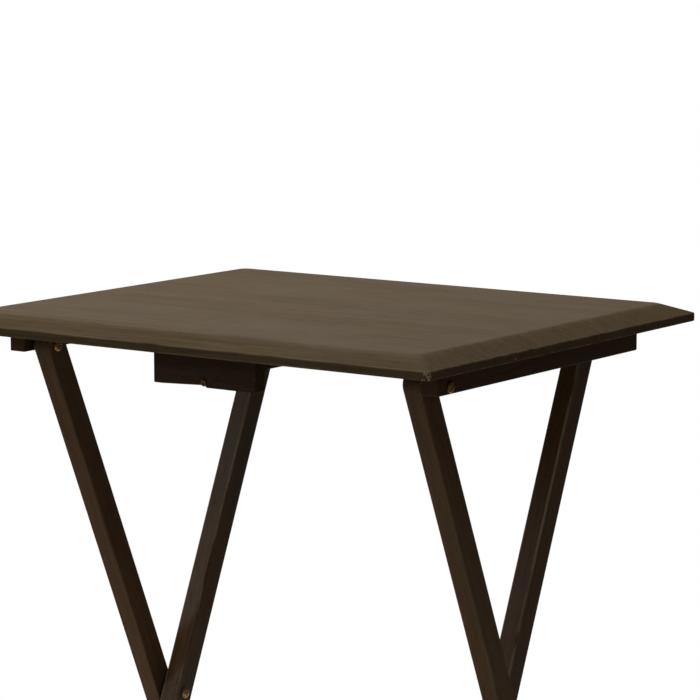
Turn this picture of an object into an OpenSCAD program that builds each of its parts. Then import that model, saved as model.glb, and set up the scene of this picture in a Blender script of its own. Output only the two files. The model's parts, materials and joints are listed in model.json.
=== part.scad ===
// Folding tray table: a bevelled top hinged on an outer leg frame, with an inner leg frame that
// crosses it and holds up the rear of the top. Stands on the floor (z = 0), front towards -Y.

/* [Top] */
// Height of the top surface above the floor
table_h = 660; // [540:1:800]
// Width of the top, side to side
top_w = 484; // [400:1:620]
// Depth of the top, front to rear
top_d = 410; // [330:1:500]
// Thickness of the top board
top_t = 16; // [13:0.5:24]
// Width of the bevel around the top
bevel_w = 22; // [8:0.5:25]
// Drop of the bevel from the flat top to the square edge
bevel_drop = 9; // [3:0.5:10]
// Radius of the top's upright corners
corner_r = 4; // [1:0.5:12]

/* [Side rails] */
// Distance from the side edge of the top to a rail's outer face
rail_inset = 28; // [22:0.5:40]
// Thickness of a rail
rail_t = 15.5; // [12:0.5:20]
// Height of a rail
rail_h = 21.5; // [20:0.5:32]
// Distance from the top's front edge to the rails' front ends
rail_front = 55.5; // [40:0.5:70]
// Distance from the top's rear edge to the rails' rear ends
rail_rear = 50.5; // [30:0.5:70]
// Distance from a rail's front end to the hinge bolt
pivot_in = 17.5; // [12:0.5:30]
// Distance from the underside of the top down to the hinge bolt
pivot_drop = 16; // [14.5:0.25:17]

/* [Catch and stop under the top] */
// Length of the catch block and of the stop block, side to side
block_len = 102; // [60:1:200]
// Distance from the top's front edge to the face of the catch block
catch_front = 44; // [30:1:45]
// Thickness of the catch block
catch_t = 13; // [10:0.5:18]
// Height of the catch block
catch_h = 32; // [28:0.5:40]
// Depth of the ledge behind the catch block
ledge_d = 30; // [15:0.5:32]
// Height of the ledge
ledge_h = 15; // [12:0.5:18]
// Thickness of the stop block
stop_t = 15; // [12:0.5:24]
// Height of the stop block
stop_h = 22; // [18:0.5:30]

/* [Legs] */
// Thickness of a leg, side to side
leg_t = 17; // [14:0.5:22]
// Width of a leg in the plane of its frame
leg_w = 21.5; // [18:0.5:26]
// Height of the crossing bolts above the floor
cross_h = 303; // [250:1:360]
// Distance of the crossing bolts behind the middle of the top
cross_y = 8; // [-20:1:30]
// Thickness of the spacers between rail and leg, and between leg and leg
spacer_t = 4.5; // [2:0.25:8]
// Gap between the inner legs' round ends and the underside of the top
rest_gap = 0.9; // [0.8:0.1:2]

/* [Bars between the legs] */
// Diameter of the round bar between the tops of the inner legs
bar_d = 16; // [12:0.5:17]
// Depth of the bar's seat in each inner leg
bar_seat = 9; // [6:0.5:10]
// Height of the inner stretcher's middle above the floor
inner_str_h = 120; // [80:1:200]
// Thickness of the inner stretcher
inner_str_t = 14; // [12:0.5:17]
// Width of the inner stretcher along the legs
inner_str_w = 28; // [26:1:50]
// Height of the outer stretcher's middle above the floor
outer_str_h = 95; // [60:1:200]
// Thickness of the outer stretcher
outer_str_t = 10; // [8:0.5:14]
// Width of the outer stretcher along the legs
outer_str_w = 32; // [26:1:50]

/* [Hardware] */
// Outside diameter of the hinge sleeves
sleeve_d = 6; // [5:0.25:7]
// Diameter of the bolts that screw into the sleeves
bolt_d = 4; // [3:0.25:4.25]
// Diameter of the bolt heads
bolt_head_d = 10; // [8.5:0.25:11]
// Diameter of the sleeves' domed heads
sleeve_head_d = 9.5; // [8.5:0.25:11]
// Thickness of the bolt heads and the sleeve heads
head_t = 2.2; // [1.6:0.1:3]
// Outside diameter of the spacers
spacer_d = 14; // [11:0.5:16]
// Diameter of the wood screws
screw_d = 3.6; // [3:0.1:4.2]
// Diameter of the wood screws' countersunk heads
screw_head_d = 7; // [6:0.25:8]
// Diameter of the dowels in the inner stretcher
dowel_d = 8; // [6:0.5:9]
// Diameter of the foot glides
glide_d = 13; // [10:0.5:14]
// Thickness of the foot glides
glide_t = 2; // [1.5:0.25:4]

/* [Hidden] */
$fn = 64;

// Fits
run_gap = 0.05;       // radial gap of a sleeve that turns in wood
seat_gap = 0.02;      // radial gap of a screw, sleeve or bar that stays put
side_play = 0.15;     // gap at each side of a spacer or under a head that turns
stop_gap = 0.4;       // gap between the top bar and the stop block
screw_cover = 6.5;    // wood left over the tip of a screw
end_margin = 30;      // distance from a rail's end to its nearest screw
screw_cone = 2.4;     // depth of a countersunk head
screw_tip = 4;        // length of a wood screw's point
slot_w = 1;           // width of the cross recess
slot_depth = 1.2;     // depth of the cross recess
eps = 1;              // how far a cutter runs past what it cuts

// Heights
under_z = table_h - top_t;
pivot_z = under_z - pivot_drop;
bar_z = under_z - rest_gap - leg_w / 2;

// Places from front to rear
rail_y0 = -top_d / 2 + rail_front;
rail_y1 = top_d / 2 - rail_rear;
rail_len = rail_y1 - rail_y0;
pivot_y = rail_y0 + pivot_in;
lean = atan2(cross_y - pivot_y, pivot_z - cross_h);
bar_y = cross_y + (bar_z - cross_h) * tan(lean);
catch_y = -top_d / 2 + catch_front;
stop_y = bar_y + bar_d / 2 + stop_gap;

// Places from the middle out to the side
rail_x = top_w / 2 - rail_inset - rail_t;
outer_x = rail_x - spacer_t - leg_t;
inner_x = outer_x - spacer_t - leg_t;

// Lengths along the legs, from the crossing bolt
outer_arm = (pivot_z - cross_h) / cos(lean);
inner_arm = (bar_z - cross_h) / cos(lean);
foot_arm = cross_h / cos(lean) + leg_w;

// A sleeve ends inside the last leg, and the bolt reaches most of the way into the sleeve
crossing_sleeve_len = leg_t + spacer_t + leg_t * 0.7;
pivot_sleeve_len = rail_t + spacer_t + leg_t * 0.7;
bolt_len = leg_t * 0.3 + 14;

rail_screw_ys = [rail_y0 + end_margin + pivot_in, (rail_y0 + rail_y1) / 2, rail_y1 - end_margin];
block_screw_x = block_len / 2 - 14;
ledge_screw_x = block_len / 2 - 28;
face_screw_z = under_z - catch_h + 4;

espresso = [0.16, 0.12, 0.09];
dark_espresso = [0.10, 0.07, 0.05];
brass = [0.72, 0.56, 0.30];
steel = [0.55, 0.55, 0.55];
plastic = [0.09, 0.08, 0.08];

// ---- helpers ----

// Repeats a shape as it is on the right and mirrored on the left
module both_sides() {
    for (side = [0, 1])
        mirror([side, 0, 0])
            children();
}

// Puts a shape drawn along +Z, with its middle at the crossing bolt, onto a leaning leg
module on_leg(angle) {
    translate([0, cross_y, cross_h])
        rotate([angle, 0, 0])
            children();
}

// Turns a shape drawn along +Z to point along +X
module along_x() {
    rotate([0, 90, 0])
        children();
}

// Cross recess in a head whose face is at z = 0
module cross_recess(size) {
    for (turn = [0, 90])
        rotate([0, 0, turn])
            translate([-size / 2, -slot_w / 2, -slot_depth])
                cube([size, slot_w, slot_depth + eps]);
}

// Countersunk wood screw pointing along +Z, with its head's face at z = 0
module wood_screw_body(len, gap) {
    cylinder(h = screw_cone, d1 = screw_head_d + 2 * gap, d2 = screw_d + 2 * gap);
    cylinder(h = len - screw_tip, d = screw_d + 2 * gap);
    translate([0, 0, len - screw_tip])
        cylinder(h = screw_tip, d1 = screw_d + 2 * gap, d2 = 0.8 + 2 * gap);
}

module wood_screw(len) {
    color(steel)
        difference() {
            wood_screw_body(len, 0);
            rotate([180, 0, 0])
                cross_recess(screw_d);
        }
}

// The hole for that screw, open at the head's side
module wood_screw_hole(len) {
    wood_screw_body(len, seat_gap);
    translate([0, 0, -eps])
        cylinder(h = eps + 0.01, d = screw_head_d + 2 * seat_gap);
}

// Low dome of a given diameter and thickness, flat side at z = 0
module dome(d, t) {
    r = (d * d / 4 + t * t) / (2 * t);
    a = asin(d / 2 / r);
    rotate_extrude()
        polygon(concat([[0, 0]], [for (i = [0 : 12]) [r * sin(a * (12 - i) / 12),
            t - r + r * cos(a * (12 - i) / 12)]]));
}

// Bolt along +Z with a low domed head below z = 0
module bolt(len) {
    color(brass)
        difference() {
            union() {
                cylinder(h = len, d = bolt_d);
                translate([0, 0, -head_t * 0.4])
                    cylinder(h = head_t * 0.4, d = bolt_head_d);
                translate([0, 0, -head_t * 0.4])
                    rotate([180, 0, 0])
                        dome(bolt_head_d, head_t * 0.6);
            }
            translate([0, 0, -head_t])
                rotate([180, 0, 0])
                    cross_recess(bolt_head_d * 0.6);
        }
}

// Sleeve nut along -Z with a domed head above z = 0, bored for the bolt from its far end
module sleeve_nut(len) {
    color(brass)
        difference() {
            union() {
                translate([0, 0, -len])
                    cylinder(h = len, d = sleeve_d);
                cylinder(h = head_t * 0.35, d = sleeve_head_d);
                translate([0, 0, head_t * 0.35])
                    dome(sleeve_head_d, head_t * 0.65);
            }
            translate([0, 0, -len - eps])
                cylinder(h = len, d = bolt_d + 2 * seat_gap);
        }
}

module spacer() {
    color(plastic)
        difference() {
            cylinder(h = spacer_t - 2 * side_play, d = spacer_d);
            translate([0, 0, -eps])
                cylinder(h = spacer_t + 2 * eps, d = sleeve_d + 2 * run_gap);
        }
}

// Square leg on its leaning line with a round top end, cut level above its glide
module leg(angle, x0, up_len, bore_gap) {
    color(dark_espresso)
        difference() {
            on_leg(angle)
                union() {
                    translate([x0, -leg_w / 2, -foot_arm])
                        cube([leg_t, leg_w, foot_arm + up_len]);
                    translate([x0, 0, up_len])
                        along_x()
                            cylinder(h = leg_t, d = leg_w);
                }
            translate([x0 - eps, -top_d, -2 * leg_w])
                cube([leg_t + 2 * eps, 2 * top_d, 2 * leg_w + glide_t]);
            on_leg(angle)
                translate([x0 - eps, 0, 0])
                    along_x()
                        cylinder(h = leg_t + 2 * eps, d = sleeve_d + 2 * bore_gap);
        }
}

// Middle of a foot's cut end
function foot_y(dir) = cross_y + dir * (cross_h - glide_t) * tan(lean);

// ---- top ----

// Upright sides of the top with rounded corners
module top_outline() {
    square([top_w - 2 * corner_r, top_d], center = true);
    square([top_w, top_d - 2 * corner_r], center = true);
    for (sx = [-1, 1], sy = [-1, 1])
        translate([sx * (top_w / 2 - corner_r), sy * (top_d / 2 - corner_r)])
            circle(r = corner_r);
}

// Section across the top: flat in the middle, sloping at both ends to a square edge
module bevel_section(width) {
    polygon([[-width / 2, 0], [width / 2, 0], [width / 2, top_t - bevel_drop],
        [width / 2 - bevel_w, top_t], [-width / 2 + bevel_w, top_t], [-width / 2, top_t - bevel_drop]]);
}

module top_panel() {
    color(espresso)
        difference() {
            translate([0, 0, under_z])
                intersection() {
                    linear_extrude(height = top_t)
                        top_outline();
                    rotate([90, 0, 0])
                        translate([0, 0, -top_d])
                            linear_extrude(height = 2 * top_d)
                                bevel_section(top_w);
                    rotate([90, 0, 90])
                        translate([0, 0, -top_w])
                            linear_extrude(height = 2 * top_w)
                                bevel_section(top_d);
                }
            rail_screw_holes();
            catch_block_screw_holes();
            catch_ledge_screw_holes();
            stop_block_screw_holes();
        }
}

module rail() {
    color(dark_espresso)
        difference() {
            translate([rail_x, rail_y0, under_z - rail_h])
                cube([rail_t, rail_len, rail_h]);
            translate([rail_x - eps, pivot_y, pivot_z])
                along_x()
                    cylinder(h = rail_t + 2 * eps, d = sleeve_d + 2 * run_gap);
            rail_screw_holes();
        }
}

module left_rail() {
    mirror([1, 0, 0])
        rail();
}

module right_rail() {
    rail();
}

// Six screws go up through the rails into the top
module at_rail_screws() {
    both_sides()
        for (y = rail_screw_ys)
            translate([rail_x + rail_t / 2, y, under_z - rail_h])
                children();
}

rail_screw_len = rail_h + top_t - screw_cover;

module rail_screws() {
    at_rail_screws()
        wood_screw(rail_screw_len);
}

module rail_screw_holes() {
    at_rail_screws()
        wood_screw_hole(rail_screw_len);
}

// ---- catch block and ledge under the front edge ----

module catch_block() {
    color(dark_espresso)
        difference() {
            translate([-block_len / 2, catch_y, under_z - catch_h])
                cube([block_len, catch_t, catch_h]);
            catch_block_screw_holes();
            translate([0, catch_y - eps, face_screw_z])
                rotate([-90, 0, 0])
                    cylinder(h = catch_t + 2 * eps, d = screw_d + 2 * seat_gap);
        }
}

module catch_ledge() {
    color(dark_espresso)
        difference() {
            translate([-block_len / 2, catch_y + catch_t, under_z - ledge_h])
                cube([block_len, ledge_d, ledge_h]);
            catch_ledge_screw_holes();
        }
}

module at_catch_block_screws() {
    both_sides()
        translate([block_screw_x, catch_y + catch_t / 2, under_z - catch_h])
            children();
}

catch_screw_len = catch_h + top_t - screw_cover;

module catch_block_screws() {
    at_catch_block_screws()
        wood_screw(catch_screw_len);
}

module catch_block_screw_holes() {
    at_catch_block_screws()
        wood_screw_hole(catch_screw_len);
}

module at_ledge_screws() {
    both_sides()
        translate([ledge_screw_x, catch_y + catch_t + ledge_d / 2, under_z - ledge_h])
            children();
}

ledge_screw_len = ledge_h + top_t - screw_cover;

module catch_ledge_screws() {
    at_ledge_screws()
        wood_screw(ledge_screw_len);
}

module catch_ledge_screw_holes() {
    at_ledge_screws()
        wood_screw_hole(ledge_screw_len);
}

// Small round-headed screw low in the middle of the catch block's face
module catch_face_screw() {
    color(brass)
        translate([0, catch_y, face_screw_z])
            rotate([-90, 0, 0])
                difference() {
                    union() {
                        cylinder(h = catch_t, d = screw_d);
                        rotate([180, 0, 0])
                            dome(screw_head_d - 1, 1.6);
                    }
                    translate([0, 0, -1.6])
                        rotate([180, 0, 0])
                            cross_recess(screw_d);
                }
}

// ---- stop block behind the top bar ----

module stop_block() {
    color(dark_espresso)
        difference() {
            translate([-block_len / 2, stop_y, under_z - stop_h])
                cube([block_len, stop_t, stop_h]);
            stop_block_screw_holes();
        }
}

module at_stop_screws() {
    both_sides()
        translate([block_screw_x, stop_y + stop_t / 2, under_z - stop_h])
            children();
}

stop_screw_len = stop_h + top_t - screw_cover;

module stop_block_screws() {
    at_stop_screws()
        wood_screw(stop_screw_len);
}

module stop_block_screw_holes() {
    at_stop_screws()
        wood_screw_hole(stop_screw_len);
}

// ---- outer frame ----

module outer_leg() {
    difference() {
        leg(lean, outer_x, outer_arm, seat_gap);
        translate([outer_x - eps, pivot_y, pivot_z])
            along_x()
                cylinder(h = leg_t + 2 * eps, d = sleeve_d + 2 * seat_gap);
        outer_stretcher_screw_holes();
    }
}

module outer_leg_left() {
    mirror([1, 0, 0])
        outer_leg();
}

module outer_leg_right() {
    outer_leg();
}

outer_str_arm = (cross_h - outer_str_h) / cos(lean);

// Slat across the back of both outer legs
module outer_stretcher() {
    color(dark_espresso)
        difference() {
            on_leg(lean)
                translate([-outer_x - leg_t, leg_w / 2, -outer_str_arm - outer_str_w / 2])
                    cube([2 * (outer_x + leg_t), outer_str_t, outer_str_w]);
            outer_stretcher_screw_holes();
        }
}

module at_outer_stretcher_screws() {
    both_sides()
        on_leg(lean)
            for (along = [-1, 1])
                translate([outer_x + leg_t / 2, leg_w / 2 + outer_str_t,
                    -outer_str_arm + along * outer_str_w / 4])
                    rotate([90, 0, 0])
                        children();
}

outer_screw_len = outer_str_t + leg_w - screw_cover;

module outer_stretcher_screws() {
    at_outer_stretcher_screws()
        wood_screw(outer_screw_len);
}

module outer_stretcher_screw_holes() {
    at_outer_stretcher_screws()
        wood_screw_hole(outer_screw_len);
}

module foot_glides(x0, dir) {
    color(plastic)
        both_sides()
            translate([x0 + leg_t / 2, foot_y(dir), 0])
                cylinder(h = glide_t, d = glide_d);
}

module outer_foot_glides() {
    foot_glides(outer_x, 1);
}

// ---- inner frame ----

module inner_leg() {
    difference() {
        leg(-lean, inner_x, inner_arm, run_gap);
        on_leg(-lean)
            translate([inner_x - eps, 0, inner_arm])
                along_x()
                    cylinder(h = bar_seat + eps, d = bar_d + 2 * seat_gap);
        inner_bar_screw_holes();
        inner_dowel_holes();
    }
}

module inner_leg_left() {
    mirror([1, 0, 0])
        inner_leg();
}

module inner_leg_right() {
    inner_leg();
}

// Round bar that carries the rear of the top and rests against the stop block
module inner_top_bar() {
    color(dark_espresso)
        difference() {
            translate([-inner_x - bar_seat, bar_y, bar_z])
                along_x()
                    cylinder(h = 2 * (inner_x + bar_seat), d = bar_d);
            inner_bar_screw_holes();
        }
}

bar_screw_len = leg_t - bar_seat + 18;

module at_inner_bar_screws() {
    both_sides()
        translate([inner_x + leg_t, bar_y, bar_z])
            rotate([0, -90, 0])
                children();
}

module inner_bar_screws() {
    at_inner_bar_screws()
        wood_screw(bar_screw_len);
}

module inner_bar_screw_holes() {
    at_inner_bar_screws()
        wood_screw_hole(bar_screw_len);
}

inner_str_arm = (cross_h - inner_str_h) / cos(lean);

module inner_stretcher() {
    color(dark_espresso)
        difference() {
            on_leg(-lean)
                translate([-inner_x, -inner_str_t / 2, -inner_str_arm - inner_str_w / 2])
                    cube([2 * inner_x, inner_str_t, inner_str_w]);
            inner_dowel_holes();
        }
}

dowel_in_leg = leg_t - 5;
dowel_in_rail = 20;

module at_inner_dowels() {
    both_sides()
        on_leg(-lean)
            for (along = [-1, 1])
                translate([inner_x - dowel_in_rail, 0, -inner_str_arm + along * inner_str_w / 4])
                    along_x()
                        children();
}

module inner_stretcher_dowels() {
    color(espresso)
        at_inner_dowels()
            cylinder(h = dowel_in_rail + dowel_in_leg, d = dowel_d);
}

module inner_dowel_holes() {
    at_inner_dowels()
        cylinder(h = dowel_in_rail + dowel_in_leg, d = dowel_d + 2 * seat_gap);
}

module inner_foot_glides() {
    foot_glides(inner_x, -1);
}

// ---- crossing hinges ----

module crossing_bolts() {
    both_sides()
        translate([inner_x - side_play, cross_y, cross_h])
            along_x()
                bolt(bolt_len);
}

module crossing_sleeve_nuts() {
    both_sides()
        translate([outer_x + leg_t, cross_y, cross_h])
            along_x()
                sleeve_nut(crossing_sleeve_len);
}

module crossing_spacers() {
    both_sides()
        translate([inner_x + leg_t + side_play, cross_y, cross_h])
            along_x()
                spacer();
}

// ---- hinges between the outer legs and the rails, which turn on the sleeves ----

module pivot_bolts() {
    both_sides()
        translate([outer_x - side_play, pivot_y, pivot_z])
            along_x()
                bolt(bolt_len);
}

module pivot_sleeve_nuts() {
    both_sides()
        translate([rail_x + rail_t + side_play, pivot_y, pivot_z])
            along_x()
                sleeve_nut(pivot_sleeve_len);
}

module pivot_spacers() {
    both_sides()
        translate([outer_x + leg_t + side_play, pivot_y, pivot_z])
            along_x()
                spacer();
}

top_panel();
left_rail();
right_rail();
rail_screws();
catch_block();
catch_ledge();
catch_face_screw();
catch_block_screws();
catch_ledge_screws();
stop_block();
stop_block_screws();
outer_leg_left();
outer_leg_right();
outer_stretcher();
outer_stretcher_screws();
outer_foot_glides();
inner_leg_left();
inner_leg_right();
inner_top_bar();
inner_bar_screws();
inner_stretcher();
inner_stretcher_dowels();
inner_foot_glides();
crossing_bolts();
crossing_sleeve_nuts();
crossing_spacers();
pivot_bolts();
pivot_sleeve_nuts();
pivot_spacers();
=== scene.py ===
# %% [markdown]
# # A folding tray table
# This lesson dresses a folding tray table: a bevelled wooden top on two crossed leg frames that turn
# on bolts. The hard facts, such as where each board lies and which pins turn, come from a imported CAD
# model that is loaded as a fixed frame. The boards are then made again with soft, sanded edges, real
# wood grain and turned brass hardware, each riding on the body that carries it, so that the table
# still folds. Loading the frame comes first, because every later size is read from it.

# %% Load the frame
import json
import math

import bpy
import numpy as np
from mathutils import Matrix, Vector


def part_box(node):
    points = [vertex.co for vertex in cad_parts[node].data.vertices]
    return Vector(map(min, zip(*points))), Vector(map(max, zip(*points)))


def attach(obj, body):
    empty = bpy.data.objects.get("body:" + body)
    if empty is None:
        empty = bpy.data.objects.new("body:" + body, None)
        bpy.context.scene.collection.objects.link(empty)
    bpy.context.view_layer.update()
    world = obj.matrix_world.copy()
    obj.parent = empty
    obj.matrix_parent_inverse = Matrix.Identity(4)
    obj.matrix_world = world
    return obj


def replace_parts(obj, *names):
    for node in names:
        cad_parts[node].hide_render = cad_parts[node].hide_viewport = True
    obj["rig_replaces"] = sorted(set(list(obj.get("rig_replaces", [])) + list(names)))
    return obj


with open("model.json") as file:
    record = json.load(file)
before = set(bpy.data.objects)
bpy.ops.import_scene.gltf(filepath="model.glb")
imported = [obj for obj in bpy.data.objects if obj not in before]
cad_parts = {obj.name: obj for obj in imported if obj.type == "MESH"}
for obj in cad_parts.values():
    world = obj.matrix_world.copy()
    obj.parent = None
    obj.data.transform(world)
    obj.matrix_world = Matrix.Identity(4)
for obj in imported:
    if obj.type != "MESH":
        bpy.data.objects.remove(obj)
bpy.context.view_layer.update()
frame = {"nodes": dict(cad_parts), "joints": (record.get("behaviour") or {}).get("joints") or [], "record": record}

MM = 0.001

# %% [markdown]
# # The camera
# A product picture of a low table is taken from a little above the top and from one front corner, with
# a long lens so that the sides stay nearly parallel. The view could be set by hand in the viewport.
# Here it is worked out from an aim point near the middle of the top, two angles and a distance, so it
# follows the table if its height changes.

# %% Place the camera
VIEW_TURN = math.radians(35.05)
VIEW_TILT = math.radians(8.264)
VIEW_DISTANCE = 2.4434
AIM_RIGHT = 28.5 * MM
AIM_BELOW_TOP = 34.5 * MM
LENS_MM = 151.2

scene = bpy.context.scene
top_low, top_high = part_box("top_panel")
aim = np.array([AIM_RIGHT, 0, top_high.z - AIM_BELOW_TOP])
looking = np.array([-math.sin(VIEW_TURN) * math.cos(VIEW_TILT), math.cos(VIEW_TURN) * math.cos(VIEW_TILT),
                    -math.sin(VIEW_TILT)])
camera = bpy.data.objects.new("camera", bpy.data.cameras.new("camera"))
scene.collection.objects.link(camera)
camera.data.lens = LENS_MM
camera.data.sensor_width = 36
camera.location = aim - VIEW_DISTANCE * looking
camera.rotation_euler = (math.pi / 2 - VIEW_TILT, 0, VIEW_TURN)
scene.camera = camera
scene.view_settings.view_transform = "Standard"
print("camera at", [round(value, 3) for value in camera.location])

# %% [markdown]
# # Measuring the frame
# The leg frames lean, so their boxes alone do not give their width or their angle. Both could be typed
# in again, but the frame already knows them: the joints say where the pins are, and the points of a
# node can be measured along any direction. One node can also hold several screws, so a helper cuts its
# points apart wherever a clear gap opens between them.

# %% Measure nodes along any direction
ACROSS, BACK, UP = np.eye(3)


def node_points(node):
    """All corners of a CAD node as rows of X, Y and Z in metres."""
    mesh = frame["nodes"][node].data
    points = np.empty(len(mesh.vertices) * 3)
    mesh.vertices.foreach_get("co", points)
    return points.reshape(-1, 3)


def span(node, direction):
    """How far a node reaches along a direction: the lowest and the highest point * direction."""
    reach = node_points(node) @ direction
    return reach.min(), reach.max()


def copies(node, directions, gap=3 * MM):
    """Point sets of the separate pieces in a node. The points are sorted by how far they reach along each
    direction in turn, and the set is cut wherever the next point is more than the gap away."""
    groups = [node_points(node)]
    for direction in directions:
        cut = []
        for group in groups:
            reach = group @ direction
            order = np.argsort(reach)
            cut += np.split(group[order], np.nonzero(np.diff(reach[order]) > gap)[0] + 1)
        groups = cut
    return groups


def face_middle(points, outward):
    """Middle of the face that lies furthest along a direction: half way between its lowest and highest
    corners."""
    reach = points @ outward
    face = points[reach > reach.max() - 0.02 * MM]
    return (face.min(axis=0) + face.max(axis=0)) / 2


joints = {joint["name"]: joint for joint in frame["joints"]}
crossing = np.array(joints["leg_fold"]["pos_m"])
pivot = np.array(joints["top_level"]["pos_m"])
lean = math.atan2(crossing[1] - pivot[1], pivot[2] - crossing[2])
outer_up = np.array([0, -math.sin(lean), math.cos(lean)])
inner_up = outer_up * [1, -1, 1]
leg_low, leg_high = span("outer_leg_right", np.cross(outer_up, ACROSS))
leg_width = leg_high - leg_low
print("lean", round(math.degrees(lean), 2), "degrees, legs", round(leg_width / MM, 2), "mm wide,",
      len(copies("rail_screws", [ACROSS, BACK])), "screws in the rails")

# %% [markdown]
# # Skins over rings of points
# A board could be a cube with a Bevel modifier, but then its grain would have to be guessed from its
# place in the room. Here every new piece is a skin over rings of points instead. A grid of rings gives
# each point its own address, so the step that places the point also writes down how far along the grain
# it lies and whether it sits on a sanded edge. Two attributes carry that to the materials: "wood" is
# the place in the plank with the grain along its X, and "ease" is 1 on an edge and 0 on a face.

# %% Turn rings of points into a mesh
def ring_faces(rings, steps, closed=False):
    """Quads between neighbouring closed rings: a face joins points s and s + 1 of ring r to the same
    points of ring r + 1. The last point joins the first, and so does the last ring when closed."""
    ring, step = np.meshgrid(np.arange(rings if closed else rings - 1), np.arange(steps), indexing="ij")
    following, after = (ring + 1) % rings * steps, (step + 1) % steps
    here = ring * steps
    return np.stack([here + step, here + after, following + after, following + step], axis=-1).reshape(-1, 4)


def make_piece(name, points, faces, rounded, wood, ease):
    """A mesh object with the two wood attributes. The first faces, as many as rounded says, are shaded
    smooth, and the caps after them are flat."""
    mesh = bpy.data.meshes.new(name)
    mesh.from_pydata(points.tolist(), [], faces)
    mesh.polygons.foreach_set("use_smooth", np.arange(len(faces)) < rounded)
    mesh.attributes.new("wood", "FLOAT_VECTOR", "POINT").data.foreach_set("vector", wood.ravel())
    mesh.attributes.new("ease", "FLOAT", "POINT").data.foreach_set("value", ease.ravel())
    mesh.update()
    piece = bpy.data.objects.new(name, mesh)
    scene.collection.objects.link(piece)
    return piece


def plank_address(points, grain, face, number):
    """Where each point lies in its plank: along the grain, across the face and through it, in metres. Each
    plank is cut from its own part of the tree, so its number moves the whole address along."""
    axes = np.stack([grain, np.cross(face, grain), face], axis=1)
    return points @ axes + np.array([0.37, 0.91, 0.53]) * number


# %% [markdown]
# # Sanded boards
# A shop-made board is sawn, planed and sanded, so each edge has a small round on it that catches the
# light. The outline of a board is a polygon whose corners are arcs, and the edge round is one more arc,
# which carries the outline inwards while it climbs. A Bevel modifier gives the same shape, but with
# arcs worked out here the same numbers also mark the edges for wear and for a painted highlight along
# them. Two extra rings close to each round keep the flat faces flat when they are shaded smooth.

# %% Draw paths with round corners
ARC_STEP = math.radians(15)
HOLD = 0.35 * MM


def corner_arc(before, corner, after, radius):
    """Arc that replaces one corner of a path. It starts radius * tan(half the turn) before the corner, and
    its centre lies one radius to the side the path turns to. Returns points and outward normals."""
    into = (corner - before) / np.linalg.norm(corner - before)
    out = (after - corner) / np.linalg.norm(after - corner)
    turn = math.atan2(into[0] * out[1] - into[1] * out[0], into @ out)
    side = math.copysign(radius, turn) * np.array([-into[1], into[0]])
    first = corner - into * radius * math.tan(abs(turn) / 2)
    steps = max(2, math.ceil(abs(turn) / ARC_STEP))
    angle = math.atan2(-side[1], -side[0]) + np.linspace(0, turn, steps + 1)
    spoke = np.stack([np.cos(angle), np.sin(angle)], axis=1)
    return first + side + radius * spoke, math.copysign(1, turn) * spoke


def stretch(start, end, spacing, hold=0.0):
    """Points strictly between two ends in equal steps no longer than the spacing. With a hold, the first
    and last of them lie that close to the ends."""
    length = np.linalg.norm(end - start)
    if length < 3 * hold + 1e-9:
        return np.empty((0, 2))
    steps = math.ceil((length - 2 * hold) / spacing)
    share = hold / length + np.linspace(0, 1, steps + 1) * (1 - 2 * hold / length)
    return start + (share if hold else share[1:-1])[:, None] * (end - start)


def rounded_outline(corners, radii, spacing):
    """Closed anticlockwise outline with an arc at each corner. Returns its points and outward normals."""
    corners = np.asarray(corners, float)
    arcs = [corner_arc(corners[i - 1], corners[i], corners[(i + 1) % len(corners)], radii[i])
            for i in range(len(corners))]
    points, normals = [], []
    for (arc, normal), (goal, _) in zip(arcs, arcs[1:] + arcs[:1]):
        meets = np.linalg.norm(goal[0] - arc[-1]) < 1e-7
        between = stretch(arc[-1], goal[0], spacing)
        points += [arc[:-1] if meets else arc, between]
        normals += [normal[:-1] if meets else normal, np.repeat(normal[-1:], len(between), axis=0)]
    return np.concatenate(points), np.concatenate(normals)


def soft_path(corners, radii, spacing):
    """Open path with an arc at each inner corner and a holding point on both sides of each arc. Returns
    its points, and a mark that is 1 on the arcs and 0 elsewhere."""
    corners = np.asarray(corners, float)
    points, marks, last = [corners[:1]], [[0]], corners[0]
    for index, radius in enumerate(radii, start=1):
        arc, _ = corner_arc(corners[index - 1], corners[index], corners[index + 1], radius)
        between = stretch(last, arc[0], spacing, HOLD)
        points += [between, arc]
        marks += [np.zeros(len(between)), np.ones(len(arc))]
        last = arc[-1]
    between = stretch(last, corners[-1], spacing, HOLD)
    points += [between, corners[-1:]]
    marks += [np.zeros(len(between)), [0]]
    return np.concatenate(points), np.concatenate(marks)


square, _ = rounded_outline([(0, 0), (1, 0), (1, 1), (0, 1)], [0.1] * 4, 0.5)
print("a unit square with round corners has", len(square), "points")


# %% Carry an outline through the thickness of a board
def board(name, corners, radii, low, high, axes, grain, ease, number, spacing=12 * MM):
    """A plank with eased edges: outline point - inset * normal, raised to a height. The inset and the
    height follow a path round the edge, and three axes lay the outline and the height out in space."""
    outline, normals = rounded_outline(corners, radii, spacing)
    rim = ease + HOLD
    path, mark = soft_path([(rim, low), (0, low), (0, high), (rim, high)], [ease, ease], high - low)
    flat = outline[None] - path[:, :1, None] * normals[None]
    height = np.broadcast_to(path[:, 1:, None], flat.shape[:2] + (1,))
    points = np.concatenate([flat, height], axis=-1).reshape(-1, 3) @ np.asarray(axes)
    count, sides = len(outline), ring_faces(len(path), len(outline))
    caps = [np.arange(count)[::-1].tolist(), (np.arange(count) + count * (len(path) - 1)).tolist()]
    wood = plank_address(points, grain, axes[2], number)
    return make_piece(name, points, sides.tolist() + caps, len(sides), wood, np.repeat(mark, count))


def box_corners(low, high):
    """The four corners of a rectangle, anticlockwise."""
    return [(low[0], low[1]), (high[0], low[1]), (high[0], high[1]), (low[0], high[1])]


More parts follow.
